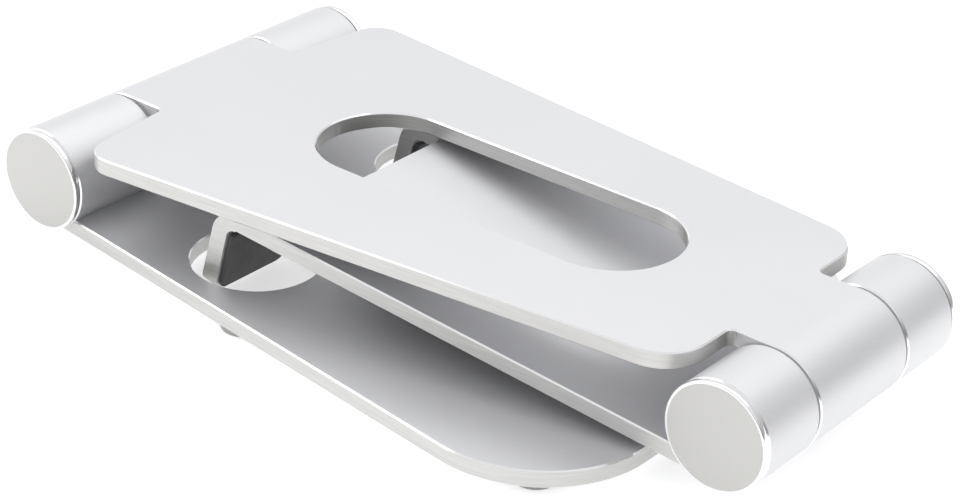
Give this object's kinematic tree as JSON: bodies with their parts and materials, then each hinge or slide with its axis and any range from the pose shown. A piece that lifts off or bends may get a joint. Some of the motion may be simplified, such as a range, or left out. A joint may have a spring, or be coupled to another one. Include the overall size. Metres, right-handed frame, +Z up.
{
  "type": "laptop stand",
  "caption": "Folding aluminium laptop stand: a flat base, a slotted arm and a tray with hooks for the front edge, joined by barrel friction hinges.",
  "frame": {"origin": "bottom centre of the folded stand, on the surface that it stands on", "axes": "+X from the base hinge towards the tray hinge, +Z up, -Y is the left side; both hinge axes lie along Y"},
  "size_m": [0.252, 0.1514, 0.0366],
  "materials": {
    "anodised_aluminium": "bead-blasted and clear anodised, satin",
    "polished_aluminium": "satin faces with polished bevels",
    "foot_rubber": "matt grey silicone rubber",
    "pad_rubber": "matt dark grey silicone rubber",
    "acetal": "natural white bearing plastic",
    "steel": "turned and zinc plated"
  },
  "bodies": {
    "base": {"base_plate": "anodised_aluminium", "foot_rear_left": "foot_rubber", "foot_rear_right": "foot_rubber", "foot_front_left": "foot_rubber", "foot_front_right": "foot_rubber", "lower_bush_left": "acetal", "lower_bush_right": "acetal", "lower_end_cap_left": "polished_aluminium", "lower_end_cap_right": "polished_aluminium"},
    "arm": {"arm_plate": "anodised_aluminium", "lower_friction_washer_left": "acetal", "lower_friction_washer_right": "acetal", "upper_friction_washer_left": "acetal", "upper_friction_washer_right": "acetal", "lower_axle_bolt": "steel", "lower_head_washer": "steel", "lower_nut_washer": "steel", "lower_disc_springs": "steel", "lower_lock_nut": "steel", "lower_grub_screw": "steel", "upper_axle_bolt": "steel", "upper_head_washer": "steel", "upper_nut_washer": "steel", "upper_disc_springs": "steel", "upper_lock_nut": "steel", "upper_grub_screw": "steel"},
    "tray": {"tray_plate": "anodised_aluminium", "hook_pad_left": "pad_rubber", "hook_pad_right": "pad_rubber", "grip_strip_left": "pad_rubber", "grip_strip_right": "pad_rubber", "upper_bush_left": "acetal", "upper_bush_right": "acetal", "upper_end_cap_left": "polished_aluminium", "upper_end_cap_right": "polished_aluminium"}
  },
  "joints": [
    {"name": "base_hinge", "type": "hinge", "parent": "base", "child": "arm", "pos_m": [-0.11098, 0, 0.017], "axis": [0, -1, 0], "range_deg": [0, 130]},
    {"name": "tray_hinge", "type": "hinge", "parent": "arm", "child": "tray", "pos_m": [0.11098, 0, 0.02165], "axis": [0, -1, 0], "range_deg": [0, 39]}
  ],
  "couplings": [
    {"joint": "tray_hinge", "follows": "base_hinge", "ratio": 0.3}
  ]
}
